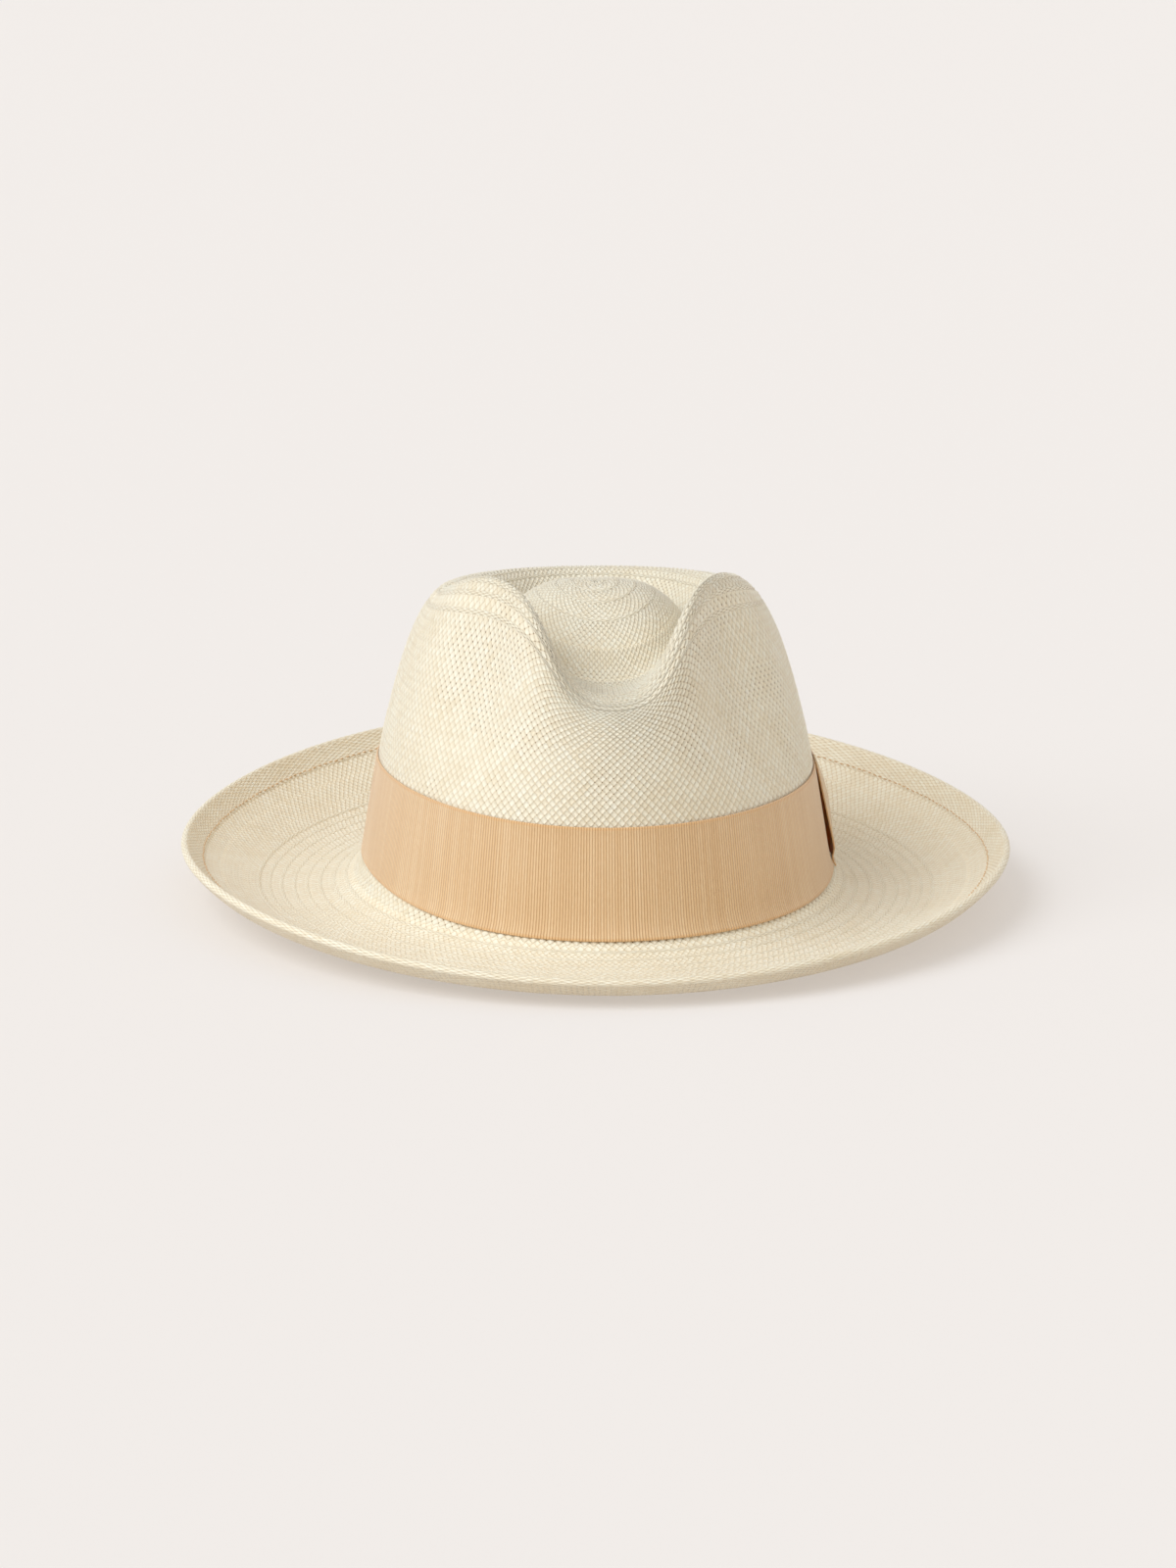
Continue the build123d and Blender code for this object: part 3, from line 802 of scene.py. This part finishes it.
def beside_wall(level, angle, out):
    """Point beside the straight crown wall: level over the crown base, out metres off the straw."""
    level, angle, out = (np.asarray(value, float) for value in (level, angle, out))
    level, angle, out = np.broadcast_arrays(level, angle, out)
    low, high = WALL_LEVELS
    share = (level / MM - low) / (high - low)
    flare = FLARE * (np.maximum(low * MM - level, 0) / FLARE_REACH) ** 2
    width = FOOT[0] + (TOP[0] - FOOT[0]) * share + flare
    length = FOOT[1] + (TOP[1] - FOOT[1]) * share + flare
    away = np.stack([np.sin(angle) / width, -np.cos(angle) / length, 0 * angle], axis=-1)
    away /= np.linalg.norm(away, axis=-1, keepdims=True)
    spot = np.stack([width * np.sin(angle), -length * np.cos(angle), BASE_Z + level], axis=-1)
    return spot + away * out[..., None]


def ribbon_edges(angle):
    """Levels of the ribbon's edges: both dip at the front and sit lower on the bow's side."""
    side = np.sin(angle)
    low = -1.1 * MM + 1.2 * MM * side**2 - 1.9 * MM * side**3 + 2.7 * MM * side**6
    high = 37.0 * MM + 2.1 * MM * side**2 - 1.3 * MM * side**3
    return low, high


RIBBON_ROUND = 0.2 * MM  # rounding of the ribbon's edges
SELVEDGE = 0.06 * MM  # bead along them
BAND_GIRTH = float(girth_at(11.5))  # round the crown at mid height of the ribbon
BAND_STRETCHES = 6  # of the band, one above the other in its bake layout


def ribbon_band():
    """The band as a closed shell: outer face with beads along its edges, then the inner face."""
    columns = 720
    angle = once_round(columns)
    low, high = ribbon_edges(angle)
    face = RIBBON_OUT + RIBBON
    rounded, bead = face - RIBBON_ROUND, face + SELVEDGE
    profile = [(0.0, rounded), (0.006, face), (0.02, bead), (0.034, bead), (0.045, face)]
    profile += [(s, face) for s in np.linspace(0.08, 0.92, 10)]
    profile += [(0.955, face), (0.966, bead), (0.98, bead), (0.994, face), (1.0, rounded)]
    outer = len(profile)
    profile += [(s, RIBBON_OUT) for s in (1.0, 0.6, 0.3, 0.2, 0.13, 0.08, 0.04, 0.0)] + [profile[0]]
    rows = [beside_wall(low + (high - low) * s, angle, np.full(columns, out)) for s, out in profile]
    shares = np.array([s for s, out in profile])

    def ribbon_uv(r, c):
        return c / columns * BAND_GIRTH / MM, shares[r.astype(int)] * RIBBON_HEIGHT / MM

    piece = grid_object("ribbon_band_cloth", np.stack(rows), GROSGRAIN, closed=True,
                        uv={"ribbon": ribbon_uv}, flip=True)
    # Bake layout: in each stretch the inner face is a thin strip over the outer one.
    row = np.repeat(np.arange(len(profile) - 1), columns)
    column = np.tile(np.arange(columns), len(profile) - 1)
    strip = columns // BAND_STRETCHES
    block = column // strip
    corner_row = np.stack([row + 1, row + 1, row, row], axis=1)
    corner_column = np.stack([column, column + 1, column + 1, column], axis=1)
    position = np.concatenate([shares[:outer] * 0.9, np.linspace(0.91, 0.98, len(profile) - outer)])
    x = (corner_column - block[:, None] * strip) / strip * 0.98 + 0.01
    y = (block[:, None] + position[corner_row]) / BAND_STRETCHES * 0.99 + 0.005
    add_uv(piece, "OFBake", np.stack([x, y], axis=-1).reshape(-1, 2))
    return weld(piece)


ribbon = settle(ribbon_band(), "ribbon_band")


# ---- bow on the wearer's left
def smooth_curve(knots, count):
    """Even samples of a smooth curve through (degrees, out in mm) knots."""
    knots = np.asarray(knots, float)
    fine = np.linspace(0, len(knots) - 1, count)
    index = np.minimum(fine.astype(int), len(knots) - 2)
    f = (fine - index)[:, None]
    padded = np.concatenate([2 * knots[:1] - knots[1:2], knots, 2 * knots[-1:] - knots[-2:-1]])
    a, b, c, d = (padded[index + k] for k in range(4))
    return 0.5 * (2 * b + (c - a) * f + (2 * a - 5 * b + 4 * c - d) * f**2 + (3 * b - a - 3 * c + d) * f**3)


CLOTH = 0.45 * MM  # thickness of the bow's layers
DEGREE_MM = 1.4  # a degree round the crown wall, in millimetres


def ribbon_layer(name, knots_at, low, high, samples=60, rows=24):
    """Ribbon layer that stands beside the wall; knots_at(share) gives its line at each height."""
    sheets = {}
    for side, extra in (("in", 0.0), ("out", CLOTH / MM)):
        grid = []
        for share in np.linspace(0, 1, rows):
            line = smooth_curve(knots_at(share), samples)
            level = np.full(samples, low + (high - low) * share)
            direction = np.gradient(line, axis=0) * np.array([DEGREE_MM, 1.0])
            direction /= np.linalg.norm(direction, axis=1, keepdims=True)
            offset = np.stack([-direction[:, 1], direction[:, 0]], axis=1) * extra
            angle = np.radians(line[:, 0] + offset[:, 0] / DEGREE_MM)
            grid.append(beside_wall(level, angle, (line[:, 1] + offset[:, 1]) * MM))
        sheets[side] = np.stack(grid)
    inside, outside = sheets["in"], sheets["out"]
    ring = np.concatenate([outside, inside[:, ::-1], outside[:, :1]], axis=1)
    steps = np.linalg.norm(np.diff(ring[rows // 2], axis=0), axis=1)
    length = np.concatenate([[0], np.cumsum(steps)]) / MM
    height = (high - low) / MM

    def ribbon_uv(r, c):
        return length[c.astype(int)], r / (rows - 1) * height

    shell = grid_object(name, ring, BOW_GROSGRAIN, uv={"ribbon": ribbon_uv})
    caps = []
    for index, flip in ((0, True), (rows - 1, False)):
        def cap_uv(r, c, y=index / (rows - 1) * height):
            return length[c.astype(int)], y + 0 * r

        cap = np.stack([inside[index], outside[index]])
        caps.append(grid_object(name + "_cap", cap, BOW_GROSGRAIN, flip=flip, smooth=False,
                                uv={"ribbon": cap_uv}))
    return weld(join(name, [shell] + caps))


BOW_LOW, BOW_HIGH = (float(edge) for edge in ribbon_edges(math.radians(85)))


def panel_knots(share):
    """Front part of the bow: its edge gapes off the band low down, and behind the edge it puffs out."""
    gape = 2.1 * (1 - share) ** 0.75 * min(1.0, max(0.0, share - 0.08) / 0.1) ** 0.6
    puff = 2.0 * math.sin(math.pi * share ** 1.5)
    edge = 1.0 + gape
    return [(83.5, edge), (85.0, edge + 0.12 + 0.25 * puff), (88.0, 1.05 + 0.8 * gape + 0.8 * puff),
            (92.0, 1.15 + 0.6 * gape + 0.9 * puff), (95.5, 1.3 + 0.3 * gape + 0.5 * puff), (98.5, 1.55),
            (102, 1.52), (106, 1.52), (112, 1.52)]


def loop_knots(share):
    """Rear part: out from the keeper, round a fold and back."""
    puff = 0.2 + 0.5 * share
    return [(101, 2.02), (105, 2.05), (110, 2.2), (116, 2.25), (119.2, 2.6), (120.1, 3.4),
            (119.0, 4.1), (115.5, 4.1 + puff), (110, 3.5 + puff), (105, 2.8), (101.5, 2.55)]


def keeper_knots(share):
    """Keeper over both: narrowest at mid height."""
    pinch = 1 - (2 * share - 1) ** 2
    return [(99.2 + 0.2 * pinch, 2.1), (100.3, 2.8 + 0.1 * pinch), (102, 3.2), (104, 3.25),
            (105.8, 3.15 + 0.1 * pinch), (106.8 - 0.3 * pinch, 3.0)]


def lap_knots(share):
    """End of the ribbon: flat on the band."""
    return [(degrees, 1.02) for degrees in (98, 104, 111, 118)]


bow_panel = ribbon_layer("bow_panel_cloth", panel_knots, BOW_LOW - 0.7 * MM, BOW_HIGH + 0.4 * MM)
settle(bow_panel, "bow_panel")
bow_loop = ribbon_layer("bow_loop_cloth", loop_knots, BOW_LOW, BOW_HIGH + 0.4 * MM, samples=80)
settle(bow_loop, "bow_loop")
bow_keeper = ribbon_layer("bow_keeper_cloth", keeper_knots, BOW_LOW - 0.2 * MM, BOW_HIGH + 0.7 * MM,
                          samples=40)
settle(bow_keeper, "bow_keeper")
ribbon_lap = ribbon_layer("ribbon_lap_cloth", lap_knots, BOW_LOW, BOW_HIGH)
settle(ribbon_lap, "ribbon_lap")


TACK_LEVELS = (5 * MM, 34 * MM)
TACK_PITCH = 0.55 * MM
TACK_RADIUS = 0.26 * MM


def bow_tacks():
    """Three short stitches side by side near each end of the keeper."""
    angle = np.radians(np.linspace(101.4, 104.6, 6))
    rise = 3.72 * MM + 0.25 * MM * np.sin(np.linspace(0, math.pi, 6))
    levels = [level + row * TACK_PITCH for level in TACK_LEVELS for row in range(3)]
    paths = [beside_wall(level, angle, rise) for level in levels]
    return swept("bow_tack_thread", paths, TACK_RADIUS, THREAD)


settle(bow_tacks(), "bow_tacks")


# ---- inside: sweatband and its trim
SWEAT_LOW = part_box("sweatband")[0].z - BASE_Z
SWEAT_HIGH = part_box("sweatband")[1].z - BASE_Z
SWEAT_OUT = -(STRAW + 0.6 * MM)  # outer face of the leather off the straw
SWEATBAND = 0.9 * MM  # its thickness


def inside_band():
    """Leather band with a rounded upper edge and slight waves."""
    columns = 360
    angle = once_round(columns)
    profile = [(0.0, 0.25), (0.03, 0.0), (0.3, 0.0), (0.7, 0.0), (0.96, 0.0), (1.0, 0.3), (1.0, 0.7),
               (0.96, 1.0), (0.7, 1.0), (0.3, 1.0), (0.03, 1.0), (0.0, 0.75), (0.0, 0.25)]
    rows = []
    for share, depth in profile:
        wave = 0.12 * MM * np.sin(angle * 7 + 1) * share
        out = SWEAT_OUT - SWEATBAND * depth - np.abs(wave)
        rows.append(beside_wall(np.full(columns, SWEAT_LOW + (SWEAT_HIGH - SWEAT_LOW) * share), angle, out))
    return weld(grid_object("sweatband_leather", np.stack(rows), LEATHER, closed=True))


sweatband = settle(inside_band(), "sweatband")


def oval_cord(name, node, material, radius, dash=0):
    """Round cord on the oval of its CAD node; dash breaks it into that many stitches."""
    low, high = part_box(node)
    middle = (low.z + high.z) / 2
    half_x, half_y = high.x - (high.z - low.z) / 2, high.y - (high.z - low.z) / 2
    paths = []
    parts = dash or 1
    for k in range(parts):
        span = 2 * math.pi / parts
        samples = 7 if dash else 361
        turn = np.linspace(0, span * (0.72 if dash else 1.0), samples) + k * span
        lift = -0.15 * MM * np.sin(np.linspace(0, math.pi, samples)) if dash else np.zeros(samples)
        paths.append(np.stack([(half_x + lift) * np.cos(turn), (half_y + lift) * np.sin(turn),
                               np.full(samples, middle)], axis=1))
    return settle(swept(name, paths, radius, material, sides=12), node)


oval_cord("reed", "sweatband_reed", REED, 0.85 * MM)
oval_cord("reed_tape_cloth", "reed_tape", TAPE, 1.38 * MM)
oval_cord("sweatband_stitches", "sweatband_stitching", THREAD, 0.28 * MM, dash=190)


def zigzag_seam():
    low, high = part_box("sweatband_seam")
    teeth = 14
    paths = []
    for k in range(teeth):
        z = low.z + (high.z - low.z) * np.array([k, k + 1]) / teeth
        x = np.array([-1.2, 1.2]) * MM * (1 if k % 2 else -1)
        y = high.y + (low.y - high.y) * (z - low.z) / (high.z - low.z) - 0.2 * MM
        bend = np.linspace(0, 1, 5)
        x, y, z = (np.interp(bend, (0, 1), ends) for ends in (x, y, z))
        paths.append(np.stack([x, y - 0.1 * MM * np.sin(math.pi * bend), z], axis=1))
    return swept("sweatband_seam_thread", paths, 0.26 * MM, THREAD)


settle(zigzag_seam(), "sweatband_seam")


def inner_bow():
    """Two small ribbon loops, pinched where the knot holds them."""
    low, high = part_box("sweatband_bow")
    middle_y, middle_z = (low.y + high.y) / 2, (low.z + high.z) / 2
    pieces = []
    for side in (-1, 1):
        turn = np.linspace(0, 2 * math.pi, 49)
        reach = (high.x - 0.4 * MM) * (0.5 - 0.5 * np.cos(turn)) * side
        swell = 1.1 * MM * np.sin(turn) * np.sin(turn / 2) ** 0.5
        rows = []
        for share in np.linspace(-1, 1, 7):
            width = 2.4 * MM * (0.45 + 0.55 * np.sin(turn / 2))
            rows.append(np.stack([reach, middle_y + swell, middle_z + share * width], axis=1))
        pieces.append(grid_object("inner_bow_loop", np.stack(rows), INNER_RIBBON))
    bow = join("sweatband_bow_ribbon", pieces)
    thick = bow.modifiers.new("thickness", "SOLIDIFY")
    thick.thickness = 0.35 * MM
    thick.offset = 0
    return bow


settle(inner_bow(), "sweatband_bow")


def inner_knot():
    low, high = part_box("sweatband_bow_knot")
    centre = np.array((low + high) / 2)
    size = np.array(high - low) / 2
    rows = []
    for tilt in np.linspace(-math.pi / 2, math.pi / 2, 13):
        turn = np.arange(24) / 24 * 2 * math.pi
        ring = np.stack([np.cos(turn) * math.cos(tilt) ** 0.5, np.sin(turn) * math.cos(tilt) ** 0.5,
                         np.full(24, math.sin(tilt))], axis=1)
        folds = 1 + 0.05 * np.sin(turn * 6)[:, None]
        rows.append(centre + ring * size * 0.97 * np.where([True, True, False], folds, 1))
    return grid_object("sweatband_bow_knot_ribbon", np.stack(rows), INNER_RIBBON, closed=True)


settle(inner_knot(), "sweatband_bow_knot")


def blank_label():
    """Woven label without any mark, standing just inside the sweatband."""
    low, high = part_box("size_label")
    columns, rows = 24, 12
    angle = np.radians(np.linspace(150.3, 164.7, columns))
    depth = SWEAT_OUT - SWEATBAND - 0.15 * MM
    grid = []
    for share in np.linspace(0, 1, rows):
        level = low.z - BASE_Z + (high.z - low.z) * share
        lean = 0.1 * MM * math.sin(math.pi * share)
        grid.append(beside_wall(np.full(columns, level), angle, depth - lean))
    piece = grid_object("blank_label", np.stack(grid), LABEL)
    thick = piece.modifiers.new("thickness", "SOLIDIFY")
    thick.thickness = 0.25 * MM
    return piece


label = settle(blank_label(), "size_label")

# ---- floor, light and camera
FLOOR_Z = min(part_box("straw_body")[0].z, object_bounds()[0].z)


def floor_material(colour, glow):
    """Light table: part of its brightness is its own, so shadows on it stay pale."""
    n = Nodes("floor")
    n.shader.inputs["Base Color"].default_value = (*(c * (1 - glow) for c in srgb(*colour)), 1)
    n.shader.inputs["Emission Color"].default_value = (*srgb(*colour), 1)
    n.shader.inputs["Emission Strength"].default_value = glow
    n.shader.inputs["Roughness"].default_value = 0.95
    n.shader.inputs["Specular IOR Level"].default_value = 0.1
    return n.material


def floor():
    """Round floor that sweeps up at its far rim, so low views end on it as well."""
    columns = 96
    turn = np.arange(columns) / columns * 2 * math.pi
    sweep = [(9.0, 0.0), (10.2, 0.12), (11.2, 0.55), (11.9, 1.4), (12.2, 2.6), (12.3, 4.0)]
    points = np.concatenate([np.stack([r * np.cos(turn), r * np.sin(turn), FLOOR_Z + z + 0 * turn], axis=1)
                             for r, z in sweep])
    faces = [tuple(range(columns))]
    for row in range(len(sweep) - 1):
        for k in range(columns):
            a, b = row * columns + k, row * columns + (k + 1) % columns
            faces.append((a, a + columns, b + columns, b))
    piece = make_object("floor", points, faces, floor_material((236, 231, 227), 0.45))


floor()


def hang(name, data, location, rotation):
    holder = bpy.data.objects.new(name, data)
    bpy.context.scene.collection.objects.link(holder)
    holder.location = location
    holder.rotation_mode = "QUATERNION"
    holder.rotation_quaternion = rotation
    return holder


def sun(name, direction, strength, spread, colour):
    lamp = bpy.data.lights.new(name, "SUN")
    lamp.energy = strength
    lamp.angle = math.radians(spread)
    lamp.color = colour
    hang(name, lamp, (0, 0, 0), Vector(direction).to_track_quat("Z", "Y"))


sun("key", (-1.0, -0.5, 1.05), 2.04, 50, (0.87, 0.93, 1.0))
sun("top", (0.1, 0.1, 1.0), 0.22, 120, (1.0, 1.0, 1.0))
world = bpy.data.worlds.new("studio")
bpy.context.scene.world = world
world.use_nodes = True
world.node_tree.nodes["Background"].inputs[0].default_value = (1.0, 0.965, 0.925, 1)
world.node_tree.nodes["Background"].inputs[1].default_value = 0.62
bpy.context.scene.view_settings.view_transform = "Standard"


def camera(azimuth, elevation, distance, target, lens):
    a, e = math.radians(azimuth), math.radians(elevation)
    back = Vector((math.sin(a) * math.cos(e), -math.cos(a) * math.cos(e), math.sin(e)))
    lens_data = bpy.data.cameras.new("camera")
    lens_data.lens = lens
    lens_data.sensor_width = 36
    location = Vector(target) + back * distance
    bpy.context.scene.camera = hang("camera", lens_data, location, (-back).to_track_quat("-Z", "Y"))


camera(azimuth=-4.5, elevation=13.3, distance=2.2, target=(-0.0025, 0, BASE_Z + 0.029), lens=141.6)
